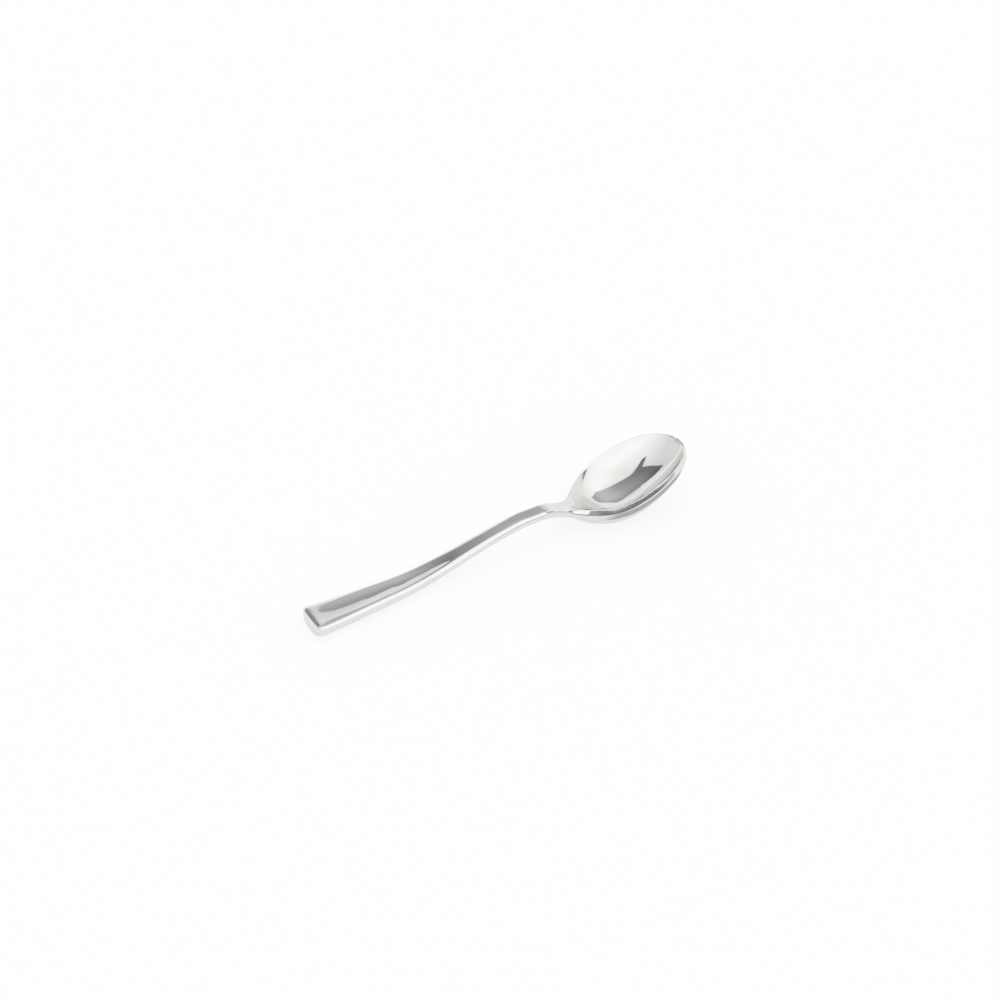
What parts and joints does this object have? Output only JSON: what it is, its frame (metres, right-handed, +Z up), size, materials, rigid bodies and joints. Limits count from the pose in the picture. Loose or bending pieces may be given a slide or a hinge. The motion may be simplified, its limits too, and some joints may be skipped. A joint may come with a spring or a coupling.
{
  "type": "teaspoon",
  "caption": "Polished metal teaspoon with a squared, bevelled handle that tapers to an arched neck and opens into a deep egg-shaped bowl, for stirring and measuring.",
  "frame": {"origin": "on the table, under the middle of the spoon's length and width", "axes": "+X along the spoon, from the handle's end to the bowl's tip; +Y across it; +Z up, out of the bowl's hollow"},
  "size_m": [0.14, 0.028, 0.0179],
  "materials": {
    "polished_steel": "mirror-polished silver-coloured steel with faint polishing lines"
  },
  "bodies": {
    "root": {"handle": "polished_steel", "neck": "polished_steel", "bowl": "polished_steel"}
  },
  "joints": []
}
